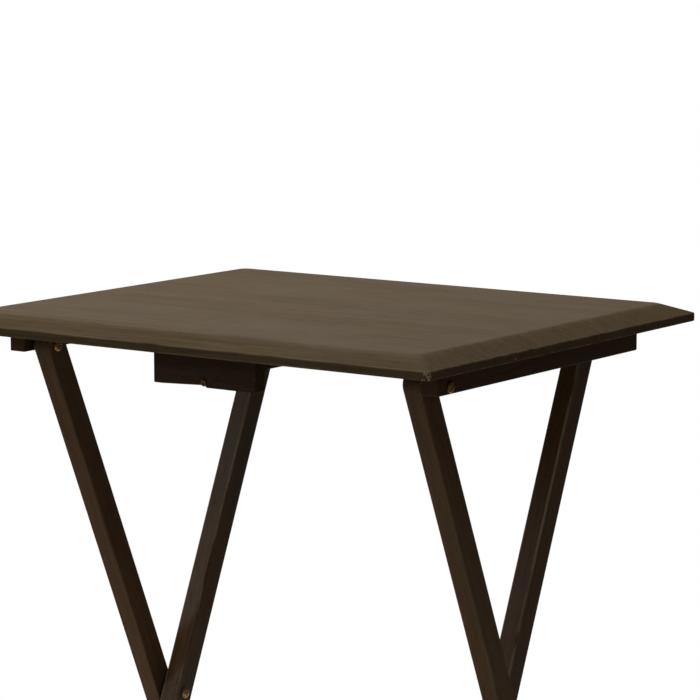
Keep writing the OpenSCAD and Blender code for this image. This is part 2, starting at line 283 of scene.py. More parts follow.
# %% [markdown]
# # The tray top
# The top is one glued-up board with a wide, flat bevel run round its upper edge and a thin square edge
# left below it. A cube cut by four planes would do, but real bevels are cut with a router and then
# sanded, so the crease to the flat is soft and the four mitres are blunt. So its section is a
# path with arcs, and rings of that section, each a smaller rounded rectangle, climb it from the
# underside to the flat. Small dents push single spots inwards where a table like this gets knocked.

# %% Build the tray top
BEVEL_WIDTH = 22 * MM
BEVEL_DROP = 9 * MM
CORNER_RADIUS = 4 * MM
MITRE_RADIUS = 7 * MM
EDGE_EASE = 1.1 * MM
CREASE_RADIUS = 9 * MM
# Each dent: its place as shares of the half width and half depth, then how far it lies below the flat, its
# radius and how far it is pushed in, all three in millimetres.
DENTS = [
    ((1.0, -1.0), 10.0, 6.0, 0.8), ((1.0, -0.99), 14.0, 5.0, 0.6), ((0.985, -1.0), 15.0, 3.6, 0.4),
    ((1.0, -0.415), 10.0, 2.6, 0.5), ((1.0, -0.40), 13.5, 1.6, 0.3), ((0.20, -1.0), 9.8, 1.8, 0.35),
    ((-0.62, -1.0), 15.6, 2.0, 0.3), ((-1.0, 0.35), 10.2, 2.4, 0.4), ((-1.0, 1.0), 12.0, 3.0, 0.5),
    ((0.45, 1.0), 10.0, 2.4, 0.4),
]


def rectangle_rings(half, insets, corner, mitre, spacing):
    """Rings of a rounded rectangle, one for each inset. The corner radius grows with the inset up to the
    mitre radius, and the straight sides have closer points near the corners, where dents fall."""
    radius = (corner + (mitre - corner) * np.clip(insets / BEVEL_WIDTH, 0, 1))[:, None]
    quarter = np.linspace(0, math.pi / 2, 13)
    signs = [(1, -1), (1, 1), (-1, 1), (-1, -1)]
    near = np.array([0.8, 1.8, 3.0, 4.5, 6.5, 9.0]) * MM
    arcs = []
    for number, sign in enumerate(signs):
        angle = quarter + (number - 1) * math.pi / 2
        arcs.append(np.stack([sign[k] * (half[k] - insets[:, None] - radius) + radius * wave(angle)[None]
                              for k, wave in ((0, np.cos), (1, np.sin))], axis=-1))
    rings = []
    for number, arc in enumerate(arcs):
        goal = arcs[(number + 1) % 4][:, :1]
        length = 2 * (half[(number + 1) % 2] - corner)
        middle = np.linspace(0, 1, math.ceil(length / spacing))[1:-1]
        share = np.unique(np.concatenate([near / length, middle[(middle > near[-1] / length * 1.5)
                                         & (middle < 1 - near[-1] / length * 1.5)], 1 - near / length]))
        rings += [arc, arc[:, -1:] + share[None, :, None] * (goal - arc[:, -1:])]
    return np.concatenate(rings, axis=1)


half = np.array([top_high.x, top_high.y])
shoulder = top_high.z - BEVEL_DROP
inner_edge = BEVEL_WIDTH + CREASE_RADIUS
section, section_mark = soft_path(
    [(inner_edge, top_low.z), (0, top_low.z), (0, shoulder), (BEVEL_WIDTH, top_high.z),
     (inner_edge, top_high.z)],
    [EDGE_EASE, EDGE_EASE, CREASE_RADIUS], 1.2 * MM)
rings = rectangle_rings(half, section[:, 0], CORNER_RADIUS, MITRE_RADIUS, 9 * MM)
height = np.broadcast_to(section[:, 1, None, None], rings.shape[:2] + (1,))
points = np.concatenate([rings, height], axis=-1).reshape(-1, 3)
soft_mark = np.where(section[:, 0] > BEVEL_WIDTH / 2, 0.35, 1.0) * section_mark
worn = np.zeros(len(points))
inwards = -points * [1, 1, 0] / np.linalg.norm(points * [1, 1, 0], axis=1, keepdims=True)
for place, below, radius, depth in DENTS:
    spot = np.array([place[0] * half[0], place[1] * half[1], top_high.z - below * MM])
    pull = np.clip(1 - (np.linalg.norm(points - spot, axis=1) / (radius * MM)) ** 2, 0, 1)
    points = points + inwards * (pull * depth * MM)[:, None]
    worn = np.maximum(worn, pull)
count = rings.shape[1]
sides = ring_faces(len(section), count)
caps = [np.arange(count)[::-1].tolist(), (np.arange(count) + count * (len(section) - 1)).tolist()]
tray_top = make_piece("tray_top", points, sides.tolist() + caps, len(sides),
                      plank_address(points, ACROSS, UP, 0), np.repeat(soft_mark, count))
tray_top.data.attributes.new("worn", "FLOAT", "POINT").data.foreach_set("value", worn)
# Mask of the bevel and the square edge, 0 on the flat: it paints them darker as painted shade and makes the bevel
# rougher.
routed_painted_shade = np.clip((BEVEL_WIDTH - section[:, 0]) / CREASE_RADIUS + 0.25, 0, 1) * (section[:, 1] > top_low.z)
tray_top.data.attributes.new("routed_painted_shade", "FLOAT", "POINT").data.foreach_set("value", np.repeat(routed_painted_shade, count))
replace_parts(tray_top, "top_panel")
print("tray top:", len(points), "points in", len(section), "rings")

# %% [markdown]
# # Rails, catch and stop under the top
# Four plain strips are screwed to the underside: a rail at each side that carries the hinge, a catch
# with a ledge behind it near the front, and a stop behind the round bar. They are short offcuts, so
# their arrises are only broken, not rounded, and a sliver has split off the catch's lower edge beside
# its screw. Each is one outline pushed through its thickness, lying in the space its node holds.

# %% Build the strips
RAIL_EASE = 1.1 * MM
STRIP_EASE = 0.8 * MM
SIDE_VIEW = (BACK, UP, ACROSS)
FRONT_VIEW = (ACROSS, UP, -BACK)


def strip(name, node, axes, grain, ease, number, corners=None, radii=None):
    """A board that fills its node's box, seen along one axis as a rectangle or as the given outline."""
    low, high = zip(*(span(node, axis) for axis in axes))
    corners = corners or box_corners(low, high)
    radii = radii or [ease * 1.15] * len(corners)
    piece = board(name, corners, radii, low[2], high[2], axes, grain, ease, number)
    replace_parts(piece, node)
    return piece


catch_left, catch_right = span("catch_block", ACROSS)
catch_bottom, catch_top = span("catch_block", UP)
catch_corners = [(catch_left, catch_bottom), (catch_left + 9 * MM, catch_bottom),
                 (1.0 * MM, catch_bottom + 1.9 * MM), (2.0 * MM, catch_bottom),
                 (catch_right, catch_bottom), (catch_right, catch_top), (catch_left, catch_top)]
catch_radii = [radius * MM for radius in (1.0, 6.0, 0.2, 0.85, 1.0, 1.0, 1.0)]
rails = [strip("side_rail_" + side, side + "_rail", SIDE_VIEW, BACK, RAIL_EASE, number)
         for number, side in enumerate(("left", "right"), start=1)]
catch = strip("catch_board", "catch_block", FRONT_VIEW, ACROSS, STRIP_EASE, 3, catch_corners, catch_radii)
ledge = strip("catch_ledge_strip", "catch_ledge", FRONT_VIEW, ACROSS, STRIP_EASE, 4)
stop = strip("stop_strip", "stop_block", FRONT_VIEW, ACROSS, STRIP_EASE, 5)
print("strips:", [piece.name for piece in rails + [catch, ledge, stop]])

# %% [markdown]
# # Legs, slat, rail and bar
# Each leg is one straight square stick with a round top, so that it can turn under the tray, and a
# level cut at the foot. Sawing the foot off a tilted box with a Boolean would work, but its outline is
# simple: two side lines meet the level of the cut, and the top corners are arcs of half the width. A
# slat ties the outer legs, a rail ties the inner ones, and a round bar joins the inner tops.

# %% Build the legs
LEG_EASE = 1.3 * MM
FOOT_RADIUS = 1.6 * MM


def leg_corners(up, end, floor):
    """Outline of a leaning leg seen from the side: two side lines half a width from the middle line run
    from the level of the cut to half a width past the end pin."""
    side = np.cross(up, ACROSS) * leg_width / 2
    middle = crossing @ UP
    corners = []
    for sign in (-1, 1):
        along = (floor - middle - sign * side[2]) / up[2]
        corners.append((crossing + sign * side + along * up)[1:])
    top = end + up * leg_width / 2
    return corners + [(top + side)[1:], (top - side)[1:]]


bar_low, bar_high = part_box("inner_top_bar")
bar_middle = np.array([0, (bar_low.y + bar_high.y) / 2, (bar_low.z + bar_high.z) / 2])
legs = {}
for number, (frame_name, up, end) in enumerate([("outer", outer_up, pivot * [0, 1, 1]),
                                                ("inner", inner_up, bar_middle)]):
    for side_number, side in enumerate(("left", "right")):
        node = f"{frame_name}_leg_{side}"
        low, high = span(node, ACROSS)
        corners = leg_corners(up, end, span(node, UP)[0])
        radii = [FOOT_RADIUS, FOOT_RADIUS, leg_width / 2, leg_width / 2]
        leg = board(f"{frame_name}_stick_{side}", corners, radii, low, high, SIDE_VIEW, up, LEG_EASE,
                    6 + 2 * number + side_number, spacing=20 * MM)
        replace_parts(leg, node)
        legs[frame_name, side] = leg
print("legs:", [leg.name for leg in legs.values()])

# %% Build the slat, the lower rail and the bar
slat_face, rail_face = np.cross(ACROSS, outer_up), np.cross(ACROSS, inner_up)
slat = strip("outer_slat", "outer_stretcher", (ACROSS, outer_up, slat_face), ACROSS, STRIP_EASE, 10)
tie = strip("inner_tie", "inner_stretcher", (ACROSS, inner_up, rail_face), ACROSS, RAIL_EASE, 11)
bar_radius = (bar_high.y - bar_low.y) / 2
bar_square = box_corners(bar_middle[1:] - bar_radius, bar_middle[1:] + bar_radius)
round_bar = board("round_bar", bar_square, [bar_radius] * 4, bar_low.x, bar_high.x, SIDE_VIEW, ACROSS,
                  STRIP_EASE, 12)
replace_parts(round_bar, "inner_top_bar")
print("bar", round(2 * bar_radius / MM, 1), "mm thick and", round((bar_high.x - bar_low.x) / MM), "mm long")

# %% [markdown]
# # Turned hardware
# Bolts, sleeve nuts, screws and glides are all turned shapes, so a section is carried round an axis.
# The Screw modifier would spin it, but a head also needs its recess. Here the section runs from the
# inner end out, up the side and in to the middle of the face, where a rule lowers each point by the
# depth of a cross or a slot. A pole closes both ends, and one shape is set down at every place it is
# needed, each turned by its own angle, because nobody lines up screws.

# %% Turn a section round an axis
HEAD_STEPS = 96


def turned(name, section, places, steps=HEAD_STEPS, carve=None, face_from=0.0):
    """Skin over rings of radius and height, closed at both ends by a pole. Points higher than face_from
    are lowered by carve(x, y). Each place is (origin, outward axis), and copies are turned by 37 degrees
    more each time."""
    angle = np.arange(steps) * 2 * math.pi / steps
    radius, height = section[1:-1, 0], section[1:-1, 1]
    x, y = radius[:, None] * np.cos(angle), radius[:, None] * np.sin(angle)
    z = np.repeat(height[:, None], steps, axis=1)
    tip = section[-1, 1]
    if carve:
        z = z - np.where(z > face_from, carve(x, y), 0)
        tip = tip - float(carve(np.zeros(1), np.zeros(1))[0])
    skin = np.stack([x, y, z], axis=-1).reshape(-1, 3)
    local = np.concatenate([[[0, 0, section[0, 1]]], skin, [[0, 0, tip]]])
    quads = ring_faces(len(radius), steps) + 1
    around, after = np.arange(steps), (np.arange(steps) + 1) % steps
    last, pole = 1 + steps * (len(radius) - 1), len(local) - 1
    fans = [np.stack([np.zeros(steps, int), after + 1, around + 1], axis=1),
            np.stack([last + around, last + after, np.full(steps, pole)], axis=1)]
    points, faces = [], []
    for number, (origin, outward) in enumerate(places):
        side = UP if abs(outward @ UP) < 0.9 else BACK
        first = np.cross(side, outward)
        first = first / np.linalg.norm(first)
        turn = math.radians(37 * number)
        second = np.cross(outward, first)
        axes = np.stack([math.cos(turn) * first + math.sin(turn) * second,
                         math.cos(turn) * second - math.sin(turn) * first, outward])
        points.append(local @ axes + origin)
        faces += [part + number * len(local) for part in (quads, *fans)]
    points = np.concatenate(points)
    faces = [face for part in faces for face in part.tolist()]
    address = np.concatenate([local] * len(places))
    return make_piece(name, points, faces, len(faces), address, np.zeros(len(points)))


def ramp(value, width):
    """0 below zero, 1 above the width, and a smooth S between them."""
    share = np.clip(value / width, 0, 1)
    return share * share * (3 - 2 * share)


def cross_recess(reach, depth, arm=0.55 * MM):
    """Depth of a cross: full along both axes, less further out, with sloping walls."""
    def carve(x, y):
        away = np.hypot(x, y)
        near = np.minimum(np.abs(x), np.abs(y))
        width = arm * (1.25 - 0.5 * away / reach)
        return depth * ramp(width - near + 0.1 * MM, 0.22 * MM) * ramp(reach - away, 0.9 * MM)
    return carve


def slot_recess(depth, width=0.65 * MM):
    """Depth of a straight slot through the whole face."""
    return lambda x, y: depth * ramp(width - np.abs(y), 0.22 * MM)


# %% Bolts and sleeve nuts of the hinges
HEAD_THICK = 2.2 * MM
HEAD_RIM = 0.8 * MM
BOLT_HEAD, SLEEVE_HEAD = 5.0 * MM, 4.75 * MM
BOLT_SHANK, SLEEVE_SHANK = 2.0 * MM, 3.0 * MM
SIDE_GAP = 60 * MM


def dome(radius, rim, thick, rows=26):
    """Quarter of an ellipse from the top of the rim to the middle of the face: radius * cos(angle) out and
    rim + (thick - rim) * sin(angle) up."""
    angle = np.linspace(0, math.pi / 2, rows)[1:]
    return np.stack([radius * np.cos(angle), rim + (thick - rim) * np.sin(angle)], axis=1)


def pin_section(length, head, shank):
    """Shank, flat underside of the head, short rim and a dome, from the inner end to the face."""
    corners = [(0, -length), (shank, -length), (shank, 0), (head, 0), (head, HEAD_RIM)]
    lower, _ = soft_path(corners, [0.4 * MM, 0.25 * MM, 0.2 * MM], 4 * MM)
    return np.concatenate([lower, dome(head, HEAD_RIM, HEAD_THICK)])


def outward_places(node, facing, sink):
    """One (origin, outward axis) for each copy in a node whose face looks away from the middle of the
    table (facing 1) or towards it (facing -1). The origin lies a little below the face."""
    places = []
    for group in copies(node, [ACROSS], SIDE_GAP):
        outward = ACROSS * facing * math.copysign(1, group[:, 0].mean())
        places.append((face_middle(group, outward) - outward * sink, outward))
    return places


hardware = {}
for kind, facing, head, shank, carve in (
        ("bolts", -1, BOLT_HEAD, BOLT_SHANK, cross_recess(3.0 * MM, 1.5 * MM)),
        ("sleeve_nuts", 1, SLEEVE_HEAD, SLEEVE_SHANK, slot_recess(1.1 * MM))):
    for hinge in ("crossing", "pivot"):
        node = f"{hinge}_{kind}"
        places = outward_places(node, facing, HEAD_THICK)
        first = copies(node, [ACROSS], SIDE_GAP)[0]
        section = pin_section(np.ptp(first[:, 0]) - HEAD_THICK, head, shank)
        hardware[node] = turned(f"{hinge}_{kind}_turned", section, places, carve=carve, face_from=0.4 * MM)
        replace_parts(hardware[node], node)
print("hinge hardware:", sorted(hardware))

# %% Wood screws
SCREW_HEAD, SCREW_SHANK = 3.5 * MM, 1.8 * MM
SCREW_CONE, SCREW_TIP = 2.4 * MM, 4.0 * MM
SCREW_PROUD = 0.12 * MM


def screw_section(length):
    """Point, shank, countersunk cone, a thin rim and a slightly crowned face."""
    corners = [(0, -length), (SCREW_SHANK, -length + SCREW_TIP), (SCREW_SHANK, -SCREW_CONE),
               (SCREW_HEAD, -0.1 * MM), (SCREW_HEAD, SCREW_PROUD)]
    lower, _ = soft_path(corners, [0.5 * MM, 0.5 * MM, 0.04 * MM], 6 * MM)
    return np.concatenate([lower, dome(SCREW_HEAD, SCREW_PROUD, SCREW_PROUD + 0.12 * MM, 18)])


def screws(node, outward, directions):
    """Wood screws set down at each copy in a node, with their heads facing along the outward axis."""
    groups = copies(node, directions)
    places = [(face_middle(group, outward), outward) for group in groups]
    length = np.ptp(groups[0] @ outward)
    piece = turned(node + "_turned", screw_section(length), places, steps=64,
                   carve=cross_recess(2.1 * MM, 1.1 * MM, 0.45 * MM), face_from=SCREW_PROUD)
    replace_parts(piece, node)
    return piece


for node in ("rail_screws", "catch_block_screws", "catch_ledge_screws", "stop_block_screws"):
    hardware[node] = screws(node, -UP, [ACROSS, BACK])
hardware["outer_stretcher_screws"] = screws("outer_stretcher_screws", -slat_face, [ACROSS, outer_up])
bar_screw_places = outward_places("inner_bar_screws", 1, 0)
bar_screw_length = np.ptp(copies("inner_bar_screws", [ACROSS], SIDE_GAP)[0][:, 0])
hardware["inner_bar_screws"] = turned(
    "inner_bar_screws_turned", screw_section(bar_screw_length), bar_screw_places, steps=64,
    carve=cross_recess(2.1 * MM, 1.1 * MM, 0.45 * MM), face_from=SCREW_PROUD)
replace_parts(hardware["inner_bar_screws"], "inner_bar_screws")

FACE_HEAD, FACE_RIM, FACE_THICK = 3.0 * MM, 0.3 * MM, 1.6 * MM
face_points = node_points("catch_face_screw")
face_end = FACE_THICK - np.ptp(face_points[:, 1])
face_corners = [(0, face_end), (SCREW_SHANK, face_end), (SCREW_SHANK, 0), (FACE_HEAD, 0),
                (FACE_HEAD, FACE_RIM)]
face_lower, _ = soft_path(face_corners, [0.4 * MM, 0.2 * MM, 0.1 * MM], 4 * MM)
face_section = np.concatenate([face_lower, dome(FACE_HEAD, FACE_RIM, FACE_THICK, 20)])
face_place = (face_middle(face_points, -BACK) + BACK * FACE_THICK, -BACK)
hardware["catch_face_screw"] = turned(
    "catch_face_screw_turned", face_section, [face_place], steps=64,
    carve=cross_recess(1.9 * MM, 1.0 * MM, 0.42 * MM), face_from=0.35 * MM)
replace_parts(hardware["catch_face_screw"], "catch_face_screw")
print("screw pieces:", len(hardware))

# %% Spacers and foot glides
def washer(name, node):
    """Ring with soft edges: a rounded rectangle of radius and height carried round the axis and closed on
    itself, set down at each copy in the node."""
    groups = copies(node, [ACROSS], SIDE_GAP)
    outer = np.ptp(groups[0][:, 1]) / 2
    inner = np.hypot(*(groups[0] - (groups[0].min(0) + groups[0].max(0)) / 2)[:, 1:].T).min()
    thick = np.ptp(groups[0][:, 0])
    corners = box_corners((inner, -thick / 2), (outer, thick / 2))
    section, _ = rounded_outline(corners, [0.5 * MM] * 4, 3 * MM)
    angle = np.arange(64) * 2 * math.pi / 64
    radius, height = section[:, :1], section[:, 1:]
    local = np.stack([radius * np.cos(angle), radius * np.sin(angle), height + 0 * angle], axis=-1)
    local = local.reshape(-1, 3)
    quads = ring_faces(len(section), 64, closed=True)
    points, faces = [], []
    for number, group in enumerate(groups):
        middle = (group.min(axis=0) + group.max(axis=0)) / 2
        points.append(local @ np.stack([BACK, UP, ACROSS]) + middle)
        faces += (quads + number * len(local)).tolist()
    points = np.concatenate(points)
    address = np.concatenate([local] * len(groups))
    piece = make_piece(name, points, faces, len(faces), address, np.zeros(len(points)))
    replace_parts(piece, node)
    return piece


def glides(name, node):
    """Nail-on glides: a pressed cup with a rounded rolled rim and a nail head sunk in its middle."""
    groups = copies(node, [ACROSS], SIDE_GAP)
    radius, thick = np.ptp(groups[0][:, 1]) / 2, np.ptp(groups[0][:, 2])
    corners = [(0, -thick), (radius, -thick), (radius, -0.7 * thick), (0.72 * radius, 0), (0.34 * radius, 0),
               (0.26 * radius, -0.25 * thick), (0.12 * radius, -0.1 * thick), (0, -0.08 * thick)]
    radii = [0.1 * MM, 0.8 * MM, 1.2 * MM, 0.3 * MM, 0.2 * MM, 0.2 * MM]
    section, _ = soft_path(corners, radii, 0.6 * MM)
    places = [((group.min(axis=0) + group.max(axis=0)) / 2 * [1, 1, 0], -UP) for group in groups]
    piece = turned(name, section, places, steps=64)
    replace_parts(piece, node)
    return piece


hardware["crossing_spacers"] = washer("crossing_washers", "crossing_spacers")
hardware["pivot_spacers"] = washer("pivot_washers", "pivot_spacers")
hardware["outer_foot_glides"] = glides("outer_glides", "outer_foot_glides")
hardware["inner_foot_glides"] = glides("inner_glides", "inner_foot_glides")
print("pieces of hardware:", sorted(piece.name for piece in hardware.values()))

# %% [markdown]
# # What rides on what
# The table folds, so each piece has to say which moving part of the frame carries it. The frame already
# lists the nodes of each body, and every new piece says which node it stands for, so a piece simply
# joins the body of the first node that it replaces. The finish of a node is looked up the same way.

# %% Hang every piece on its body
body_of = {node: body for body, nodes in frame["record"]["behaviour"]["bodies"].items() for node in nodes}
slot_of = {part["node"]: part["material_slot"] for part in frame["record"]["subparts"]}
wooden = [tray_top, *rails, catch, ledge, stop, *legs.values(), slat, tie, round_bar]
for piece in wooden + list(hardware.values()):
    node = piece["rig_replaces"][0]
    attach(piece, body_of[node])

# %% [markdown]
# # Building blocks for the finishes
# Shader nodes can be wired by hand in the editor. In a script, a small helper keeps the wiring short:
# it adds a node, sets its options, and fills each input with either a value or another node's output.
# Effects that several finishes share become node groups with named inputs, so that grain or rubbed
# edges with their painted highlight are built once and tuned for each finish.

# %% Helpers that wire nodes
def add(tree, kind, inputs=None, **options):
    """Adds a node to a tree. An input given a socket is linked, and any other input is set to the value."""
    node = tree.nodes.new(kind)
    for name, value in options.items():
        setattr(node, name, value)
    for name, value in (inputs or {}).items():
        if isinstance(value, bpy.types.NodeSocket):
            tree.links.new(value, node.inputs[name])
        else:
            node.inputs[name].default_value = value
    return node


def calc(tree, operation, first, second=0.0, third=0.0):
    """Math node: the operation on up to three numbers or sockets."""
    return add(tree, "ShaderNodeMath", {0: first, 1: second, 2: third}, operation=operation).outputs[0]


def blend(tree, share, first, second):
    """Colour that goes from the first to the second as the share goes from 0 to 1."""
    return add(tree, "ShaderNodeMix", {0: share, 6: first, 7: second}, data_type="RGBA").outputs[2]


def remap(tree, value, low, high, new_low=0.0, new_high=1.0):
    """Value moved from one range to another with a smooth S, and held at the ends."""
    return add(tree, "ShaderNodeMapRange", {0: value, 1: low, 2: high, 3: new_low, 4: new_high},
               interpolation_type="SMOOTHSTEP").outputs[0]


def noise(tree, place, scale, detail=2.0, rough=0.5, distortion=0.0):
    """Noise from 0 to 1. The scale is one number, or three to stretch the pattern along an axis."""
    if not isinstance(scale, (int, float)):
        place = add(tree, "ShaderNodeVectorMath", {0: place, 1: scale}, operation="MULTIPLY").outputs[0]
        scale = 1.0
    inputs = {"Vector": place, "Scale": scale, "Detail": detail, "Roughness": rough,
              "Distortion": distortion}
    return add(tree, "ShaderNodeTexNoise", inputs).outputs["Fac"]


def new_group(name, inputs, outputs):
    """Empty node group with named sockets. Returns the tree, its input node and its output node."""
    tree = bpy.data.node_groups.new(name, "ShaderNodeTree")
    for label, kind, value in inputs:
        socket = tree.interface.new_socket(label, in_out="INPUT", socket_type=kind)
        if kind != "NodeSocketVector":
            socket.default_value = value
    for label, kind in outputs:
        tree.interface.new_socket(label, in_out="OUTPUT", socket_type=kind)
    return tree, tree.nodes.new("NodeGroupInput"), tree.nodes.new("NodeGroupOutput")


def fill_group(tree, group, inputs):
    """Places a node group and fills its named inputs. The node comes first, because its sockets only exist
    once it knows its tree."""
    node = add(tree, "ShaderNodeGroup", None, node_tree=group)
    for name, value in inputs.items():
        if isinstance(value, bpy.types.NodeSocket):
            tree.links.new(value, node.inputs[name])
        else:
            node.inputs[name].default_value = value
    return node


def attribute(tree, name, output="Fac"):
    """A value that a piece carries on its points."""
    return add(tree, "ShaderNodeAttribute", None, attribute_name=name).outputs[output]


def new_material(name):
    """Material with an empty node tree. Returns both."""
    material = bpy.data.materials.new(name)
    material.use_nodes = True
    material.node_tree.nodes.clear()
    return material, material.node_tree


def darker(colour, share):
    """The colour with its red, green and blue scaled down."""
    return [channel * share for channel in colour[:3]] + [1]


print("half as bright as white:", darker((1, 1, 1, 1), 0.5))

# %% [markdown]
# # Grain under the stain
# An espresso stain on a light, close-grained hardwood hides the colour of the wood but not its fibres:
# there are slow bands, fine streaks along the board, and short dark pores. A Wave texture gives rings,
# but they look printed. Here three noises are stretched along the grain by different amounts and added,
# and the stretching uses the plank address, so the grain follows each leaning leg.

# %% Group: stained grain
FLOAT, VECTOR = "NodeSocketFloat", "NodeSocketVector"
stained_grain, entry, leave = new_group(
    "Stained grain",
    [("Place", VECTOR, None), ("Bands", FLOAT, 0.4), ("Streaks", FLOAT, 0.5), ("Fibres", FLOAT, 0.3)],
    [("Tone", FLOAT), ("Pores", FLOAT), ("Height", FLOAT)])
place = entry.outputs["Place"]
bands = noise(stained_grain, place, (2.2, 24, 24), 3, 0.5, 0.4)
streaks = noise(stained_grain, place, (7, 210, 210), 4, 0.6, 0.2)
fibres = noise(stained_grain, place, (28, 900, 900), 2, 0.6)
pores = noise(stained_grain, place, (75, 1700, 1700), 1, 0.5)
tone = 0.5
for label, pattern in (("Bands", bands), ("Streaks", streaks), ("Fibres", fibres)):
    centred = calc(stained_grain, "SUBTRACT", pattern, 0.5)
    tone = calc(stained_grain, "MULTIPLY_ADD", centred, entry.outputs[label], tone)
pore_mask = remap(stained_grain, pores, 0.60, 0.70)
height = calc(stained_grain, "MULTIPLY_ADD", pore_mask, -0.8, tone)
for label, socket in (("Tone", tone), ("Pores", pore_mask), ("Height", height)):
    stained_grain.links.new(socket, leave.inputs[label])
print("grain group:", len(stained_grain.nodes), "nodes")

# %% Group: rubbed edges and painted edge highlight
KNOCK_LIFT = 0.42
rubbed_and_highlit_edges, entry, leave = new_group(
    "Rubbed and highlit edges",
    [("Place", VECTOR, None), ("Edge", FLOAT, 0.0), ("Reach", FLOAT, 0.5), ("Knocks", FLOAT, 0.0)],
    [("Rub and highlight", FLOAT), ("Chips", FLOAT)])
place = entry.outputs["Place"]
patches = noise(rubbed_and_highlit_edges, place, (14, 90, 90), 3, 0.6)
specks = noise(rubbed_and_highlit_edges, place, 620, 3, 0.65)
level = calc(rubbed_and_highlit_edges, "SUBTRACT", 1.0, entry.outputs["Reach"])
# The rub mask marks worn edges, and with a bright rubbed colour it also paints a highlight along the arrises.
rub_and_highlight = calc(rubbed_and_highlit_edges, "MULTIPLY", entry.outputs["Edge"],
           remap(rubbed_and_highlit_edges, calc(rubbed_and_highlit_edges, "SUBTRACT", patches, level), -0.12, 0.12))
chips = calc(rubbed_and_highlit_edges, "MULTIPLY_ADD", entry.outputs["Knocks"], KNOCK_LIFT, specks)
chips = calc(rubbed_and_highlit_edges, "MULTIPLY", remap(rubbed_and_highlit_edges, chips, 0.78, 0.86),
             remap(rubbed_and_highlit_edges, entry.outputs["Knocks"], 0.0, 0.15))
rubbed_and_highlit_edges.links.new(rub_and_highlight, leave.inputs["Rub and highlight"])
rubbed_and_highlit_edges.links.new(chips, leave.inputs["Chips"])
print("edge group:", len(rubbed_and_highlit_edges.nodes), "nodes")

# %% Group: handled satin
handled_satin, entry, leave = new_group(
    "Handled satin",
    [("Place", VECTOR, None), ("Smooth", FLOAT, 0.4), ("Rough", FLOAT, 0.55), ("Scale", FLOAT, 9.0)],
    [("Roughness", FLOAT), ("Height", FLOAT)])
place = entry.outputs["Place"]
cloudy = add(handled_satin, "ShaderNodeTexNoise", {
    "Vector": place, "Scale": entry.outputs["Scale"], "Detail": 4.0, "Roughness": 0.6}).outputs["Fac"]
dust = noise(handled_satin, place, 1500, 1, 0.5)
share = calc(handled_satin, "MULTIPLY_ADD", dust, 0.25, calc(handled_satin, "MULTIPLY", cloudy, 0.85))
gap = calc(handled_satin, "SUBTRACT", entry.outputs["Rough"], entry.outputs["Smooth"])
spread = remap(handled_satin, share, 0.3, 0.8)
rough = calc(handled_satin, "MULTIPLY_ADD", spread, gap, entry.outputs["Smooth"])
handled_satin.links.new(rough, leave.inputs["Roughness"])
handled_satin.links.new(dust, leave.inputs["Height"])
print("groups:", [group.name for group in bpy.data.node_groups])

# %% [markdown]
# # The stained wood
# The finish is a dark, slightly greasy espresso stain under a thin satin lacquer. One colour with a
# gloss value would look like plastic. Here two browns are mixed by the grain, pores are darker and a
# little sunk, the sanded edges are rubbed to a warmer brown, which on the inner frame is mostly a
# painted highlight, the bevel and edges of the top are painted darker as painted shade, and the knocked
# spots show bare wood. On the inner frame a second, olive colour drifts in as a painted sheen. The
# tray top and the frames use the same recipe with their own colours.

# %% Make the wood finishes
def stained_wood(name, dark, light, cast_and_sheen, rubbed_and_highlight, bare, bands, streaks, fibres, reach, smooth, rough, bump,
                 gloss):
    """Principled satin wood. Colour: dark to light by tone, with a slow drift towards a second cast, which on
    the inner frame is an olive painted sheen, darker in pores, darker on the bevel and edges of the top as
    painted shade, then rubbed on edges, partly as a painted highlight, and bare on chips, where the grain
    leaves dark streaks. Roughness and bump come from the same masks."""
    material, tree = new_material(name)
    place = attribute(tree, "wood", "Vector")
    ease, worn, routed_painted_shade = (attribute(tree, label) for label in ("ease", "worn", "routed_painted_shade"))
    grain = fill_group(tree, stained_grain,
                       {"Place": place, "Bands": bands, "Streaks": streaks, "Fibres": fibres})
    edges = fill_group(tree, rubbed_and_highlit_edges, {"Place": place, "Edge": ease, "Reach": reach, "Knocks": worn})
    satin = fill_group(tree, handled_satin, {"Place": place, "Smooth": smooth, "Rough": rough})
    colour = blend(tree, grain.outputs["Tone"], dark, light)
    # Drift towards the second cast: random tone, and on the inner frame an olive painted sheen.
    drift = calc(tree, "MULTIPLY", remap(tree, noise(tree, place, (4, 14, 14), 2, 0.5), 0.40, 0.68), 0.6)
    colour = blend(tree, drift, colour, cast_and_sheen)
    # Painted shade: where the mask is set, on the bevel and edges of the top, the colour darkens towards half the
    # dark brown.
    colour = blend(tree, calc(tree, "MULTIPLY", routed_painted_shade, 0.22), colour, darker(dark, 0.5))
    colour = blend(tree, calc(tree, "MULTIPLY", grain.outputs["Pores"], 0.45), colour, darker(dark, 0.35))
    # Rubbed edges: wear, and where the rubbed colour is bright, as on the inner frame, a painted highlight along
    # the arrises.
    colour = blend(tree, edges.outputs["Rub and highlight"], colour, rubbed_and_highlight)
    torn = blend(tree, remap(tree, grain.outputs["Tone"], 0.3, 0.6), darker(bare, 0.30), bare)
    colour = blend(tree, edges.outputs["Chips"], colour, torn)
    roughness = calc(tree, "MULTIPLY_ADD", edges.outputs["Chips"], 0.3, satin.outputs["Roughness"])
    roughness = calc(tree, "MULTIPLY_ADD", routed_painted_shade, 0.28, roughness)
    height = calc(tree, "MULTIPLY_ADD", satin.outputs["Height"], 0.25, grain.outputs["Height"])
    height = calc(tree, "MULTIPLY_ADD", edges.outputs["Chips"], -1.2, height)
    relief = {"Height": height, "Strength": bump, "Distance": 0.15 * MM}
    normal = add(tree, "ShaderNodeBump", relief).outputs["Normal"]
    shader = add(tree, "ShaderNodeBsdfPrincipled", {
        "Base Color": colour, "Roughness": roughness, "Normal": normal, "IOR": 1.45,
        "Specular IOR Level": gloss})
    add(tree, "ShaderNodeOutputMaterial", {"Surface": shader.outputs["BSDF"]})
    return material


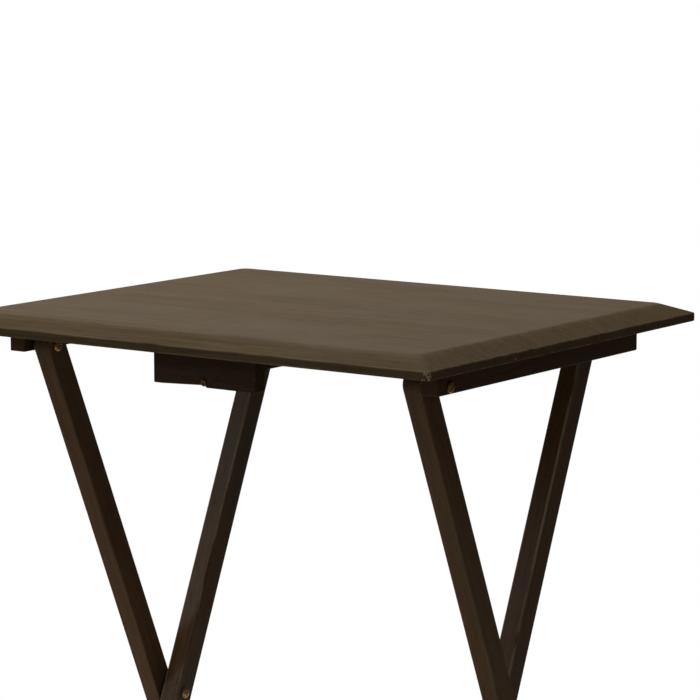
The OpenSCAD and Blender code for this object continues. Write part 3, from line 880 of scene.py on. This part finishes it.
BARE_WOOD = (0.36, 0.26, 0.13, 1)
top_wood = stained_wood(
    "espresso_top_stain", dark=(0.062, 0.042, 0.020, 1), light=(0.104, 0.069, 0.034, 1),
    cast_and_sheen=(0.090, 0.064, 0.034, 1), rubbed_and_highlight=(0.120, 0.084, 0.045, 1), bare=BARE_WOOD,
    bands=0.6, streaks=2.2, fibres=1.6, reach=0.50, smooth=0.46, rough=0.60, bump=0.45, gloss=0.08)
outer_wood = stained_wood(
    "espresso_outer_stain", dark=(0.058, 0.028, 0.012, 1), light=(0.128, 0.066, 0.030, 1),
    cast_and_sheen=(0.090, 0.062, 0.032, 1), rubbed_and_highlight=(0.130, 0.074, 0.036, 1), bare=BARE_WOOD,
    bands=0.6, streaks=1.3, fibres=0.9, reach=0.50, smooth=0.45, rough=0.60, bump=0.4, gloss=0.08)
# Inner frame: its olive cast is partly a painted greenish sheen, and its bright rubbed colour is mostly a painted
# highlight along the arrises.
inner_wood = stained_wood(
    "espresso_inner_stain", dark=(0.052, 0.026, 0.012, 1), light=(0.106, 0.057, 0.026, 1),
    cast_and_sheen=(0.062, 0.052, 0.032, 1), rubbed_and_highlight=(0.220, 0.165, 0.100, 1), bare=BARE_WOOD,
    bands=0.6, streaks=1.3, fibres=0.9, reach=0.56, smooth=0.30, rough=0.46, bump=0.4, gloss=0.15)
rail_wood = stained_wood(
    "espresso_rail_stain", dark=(0.048, 0.024, 0.012, 1), light=(0.098, 0.050, 0.025, 1),
    cast_and_sheen=(0.064, 0.040, 0.022, 1), rubbed_and_highlight=(0.100, 0.055, 0.028, 1), bare=BARE_WOOD,
    bands=0.6, streaks=0.9, fibres=0.5, reach=0.45, smooth=0.48, rough=0.62, bump=0.4, gloss=0.06)
# The catch, ledge and stop take darker copies of the rail colours, about two thirds as bright: painted shade for
# the shadow under the tray.
catch_painted_shade_wood = stained_wood(
    "espresso_catch_stain_painted_shade", dark=(0.032, 0.017, 0.009, 1), light=(0.064, 0.036, 0.019, 1),
    cast_and_sheen=(0.050, 0.034, 0.021, 1), rubbed_and_highlight=(0.100, 0.060, 0.032, 1), bare=BARE_WOOD,
    bands=0.6, streaks=0.9, fibres=0.5, reach=0.45, smooth=0.48, rough=0.62, bump=0.4, gloss=0.06)


def dress(piece, material):
    """Gives a piece one material in place of whatever its slots hold."""
    piece.data.materials.clear()
    piece.data.materials.append(material)


dress(tray_top, top_wood)
for piece in rails:
    dress(piece, rail_wood)
for piece in (catch, ledge, stop):
    dress(piece, catch_painted_shade_wood)
for (kind, _), leg in legs.items():
    dress(leg, outer_wood if kind == "outer" else inner_wood)
dress(slat, outer_wood)
for piece in (tie, round_bar):
    dress(piece, inner_wood)
print("wood finishes:", [material.name for material in bpy.data.materials if "stain" in material.name])

# %% [markdown]
# # Metal and nylon
# The hinge heads are brass-plated and have darkened in their recesses, the wood screws are dull zinc,
# and the spacers and glides are moulded black nylon. A bare metal shader would be too clean, so a cloudy
# mask mixes a bright and a tarnished colour, fine scratches go into the bump, and nylon gets the faint
# grain of its mould.

# %% Make the metal and nylon finishes
def plated_metal(name, bright, tarnish, amount, smooth, rough):
    """Principled metal: bright to tarnished by a cloudy noise, with scratched bump."""
    material, tree = new_material(name)
    place = attribute(tree, "wood", "Vector")
    satin = fill_group(tree, handled_satin,
                       {"Place": place, "Smooth": smooth, "Rough": rough, "Scale": 420.0})
    cloudy = noise(tree, place, 360, 4, 0.65, 0.3)
    mask = calc(tree, "MULTIPLY", remap(tree, cloudy, 0.35, 0.7), amount)
    colour = blend(tree, mask, bright, tarnish)
    scratches = noise(tree, place, (260, 4200, 900), 2, 0.5)
    relief = {"Height": scratches, "Strength": 0.25, "Distance": 0.03 * MM}
    normal = add(tree, "ShaderNodeBump", relief).outputs["Normal"]
    shader = add(tree, "ShaderNodeBsdfPrincipled", {
        "Base Color": colour, "Metallic": 1.0, "Normal": normal, "Roughness": satin.outputs["Roughness"]})
    add(tree, "ShaderNodeOutputMaterial", {"Surface": shader.outputs["BSDF"]})
    return material


def moulded_nylon(name, base, lighter):
    """Principled black plastic with a fine mould grain and slightly scuffed high spots."""
    material, tree = new_material(name)
    place = attribute(tree, "wood", "Vector")
    satin = fill_group(tree, handled_satin, {"Place": place, "Smooth": 0.45, "Rough": 0.65, "Scale": 300.0})
    scuffs = remap(tree, noise(tree, place, 700, 3, 0.6), 0.45, 0.75)
    colour = blend(tree, scuffs, base, lighter)
    relief = {"Height": satin.outputs["Height"], "Strength": 0.3, "Distance": 0.05 * MM}
    normal = add(tree, "ShaderNodeBump", relief).outputs["Normal"]
    shader = add(tree, "ShaderNodeBsdfPrincipled", {
        "Base Color": colour, "Normal": normal, "Roughness": satin.outputs["Roughness"]})
    add(tree, "ShaderNodeOutputMaterial", {"Surface": shader.outputs["BSDF"]})
    return material


brass = plated_metal("antique_brass_plate", (0.56, 0.31, 0.13, 1), (0.12, 0.06, 0.03, 1), 0.85, 0.24, 0.42)
zinc = plated_metal("zinc_plate", (0.42, 0.40, 0.36, 1), (0.20, 0.19, 0.17, 1), 0.6, 0.30, 0.50)
nylon = moulded_nylon("dark_nylon_moulding", (0.012, 0.012, 0.011, 1), (0.030, 0.029, 0.027, 1))
# A darker copy of the brass for the catch's face screw, which sits under the front overhang: painted shade.
painted_shade_brass = plated_metal("dull_brass_plate_painted_shade", (0.22, 0.10, 0.05, 1), (0.05, 0.025, 0.015, 1), 0.9, 0.35, 0.55)
finish_of = {"antique_brass": brass, "zinc_screw": zinc, "dark_nylon": nylon}
for node, piece in hardware.items():
    dress(piece, finish_of[slot_of[node]])
dress(hardware["catch_face_screw"], painted_shade_brass)
print("hardware finishes:", [finish.name for finish in finish_of.values()])

# %% [markdown]
# # Bare dowels
# The dowels of the lower rail are glued into blind holes and are never seen, so their CAD shapes stay.
# They still get a finish of their own, in case the joint is ever shown open: pale beech with flutes as
# bump. A CAD node has no plank address, so this material reads Object coordinates instead.

# %% Dress the dowels that keep their CAD shape
dowel_wood, tree = new_material("bare_dowel_wood")
spot = add(tree, "ShaderNodeTexCoord").outputs["Object"]
fibre = noise(tree, spot, (30, 900, 900), 3, 0.6)
colour = blend(tree, fibre, (0.36, 0.25, 0.14, 1), (0.55, 0.41, 0.26, 1))
relief = {"Height": fibre, "Strength": 0.3, "Distance": 0.1 * MM}
normal = add(tree, "ShaderNodeBump", relief).outputs["Normal"]
roughness = remap(tree, fibre, 0.3, 0.7, 0.6, 0.8)
shader = add(tree, "ShaderNodeBsdfPrincipled", {
    "Base Color": colour, "Normal": normal, "Roughness": roughness})
add(tree, "ShaderNodeOutputMaterial", {"Surface": shader.outputs["BSDF"]})
dress(frame["nodes"]["inner_stretcher_dowels"], dowel_wood)
print("nodes that keep their CAD shape:",
      [name for name, node in frame["nodes"].items() if not node.hide_render])

# %% [markdown]
# # Studio
# A catalogue shot on white: a large soft box hangs over the table, a small one stands at the front left
# and gives the leaning inner legs their grey sheen, a pale wall lies behind on the left, and everything
# low down is kept dim, so that rails and undersides stay dark. A white sheet on the floor would do for
# the ground. Here the floor is a pale disc that fades out into the white background, so that shadows
# under the feet stay and no hard edge shows.

# %% Floor that fades into the background
FLOOR_RADIUS = 1.9
FADE_START, FADE_END = 0.75, 1.15
floor_mesh = bpy.data.meshes.new("studio_floor")
angle = np.arange(96) * 2 * math.pi / 96
rim = FLOOR_RADIUS * np.stack([np.cos(angle), np.sin(angle), 0 * angle], axis=1)
floor_mesh.from_pydata(rim.tolist(), [], [list(range(96))])
floor = bpy.data.objects.new("studio_floor", floor_mesh)
scene.collection.objects.link(floor)
floor_material, tree = new_material("studio_floor")
spot = add(tree, "ShaderNodeTexCoord").outputs["Object"]
away = add(tree, "ShaderNodeVectorMath", {0: spot}, operation="LENGTH").outputs["Value"]
below = add(tree, "ShaderNodeNewGeometry").outputs["Backfacing"]
fade = calc(tree, "MAXIMUM", remap(tree, away, FADE_START, FADE_END), below)
mottle = blend(tree, noise(tree, spot, 40, 2, 0.5), (0.86, 0.86, 0.85, 1), (0.91, 0.91, 0.90, 1))
paint = add(tree, "ShaderNodeBsdfDiffuse", {"Color": mottle}).outputs["BSDF"]
clear = add(tree, "ShaderNodeBsdfTransparent").outputs["BSDF"]
surface = add(tree, "ShaderNodeMixShader", {0: fade, 1: paint, 2: clear}).outputs["Shader"]
add(tree, "ShaderNodeOutputMaterial", {"Surface": surface})
dress(floor, floor_material)
print("floor fades out", FADE_END, "m from the middle")

# %% White background with dim surroundings
world = bpy.data.worlds.new("studio")
scene.world = world
world.use_nodes = True
tree = world.node_tree
tree.nodes.clear()
seen = add(tree, "ShaderNodeBackground", {"Color": (1, 1, 1, 1), "Strength": 1.0}).outputs["Background"]
BRIGHT_SIDE = (-0.45, -0.25, 0.86)
PALE_WALL = (-0.57, 0.82, 0.0)
heading = add(tree, "ShaderNodeTexCoord").outputs["Generated"]
towards, facing_wall = (
    add(tree, "ShaderNodeVectorMath", {0: heading, 1: side}, operation="DOT_PRODUCT").outputs["Value"]
    for side in (BRIGHT_SIDE, PALE_WALL))
glow = blend(tree, remap(tree, towards, -0.2, 1.0), (0.08, 0.08, 0.08, 1), (0.48, 0.48, 0.48, 1))
glow = blend(tree, remap(tree, facing_wall, 0.80, 0.99), glow, (0.42, 0.42, 0.42, 1))
around = add(tree, "ShaderNodeBackground", {"Color": glow, "Strength": 1.0}).outputs["Background"]
direct = add(tree, "ShaderNodeLightPath").outputs["Is Camera Ray"]
both = add(tree, "ShaderNodeMixShader", {0: direct, 1: around, 2: seen}).outputs["Shader"]
add(tree, "ShaderNodeOutputWorld", {"Surface": both})


def soft_box(name, place, target, size, power, colour=(1, 1, 1)):
    """Square area light at a place, turned to face a target."""
    light = bpy.data.lights.new(name, "AREA")
    light.shape, light.size, light.energy, light.color = "SQUARE", size, power, colour
    lamp = bpy.data.objects.new(name, light)
    scene.collection.objects.link(lamp)
    lamp.location = place
    away = lamp.location - type(lamp.location)(target)
    lamp.rotation_euler = away.to_track_quat("Z", "Y").to_euler()
    return lamp


middle = (0, 0, top_high.z)
soft_box("overhead_box", (-0.50, 0.10, 1.95), middle, 1.2, 21, (1.0, 0.98, 0.95))
soft_box("front_left_box", (-1.50, -1.70, 1.32), (0, 0, 0.30), 0.4, 3.4)
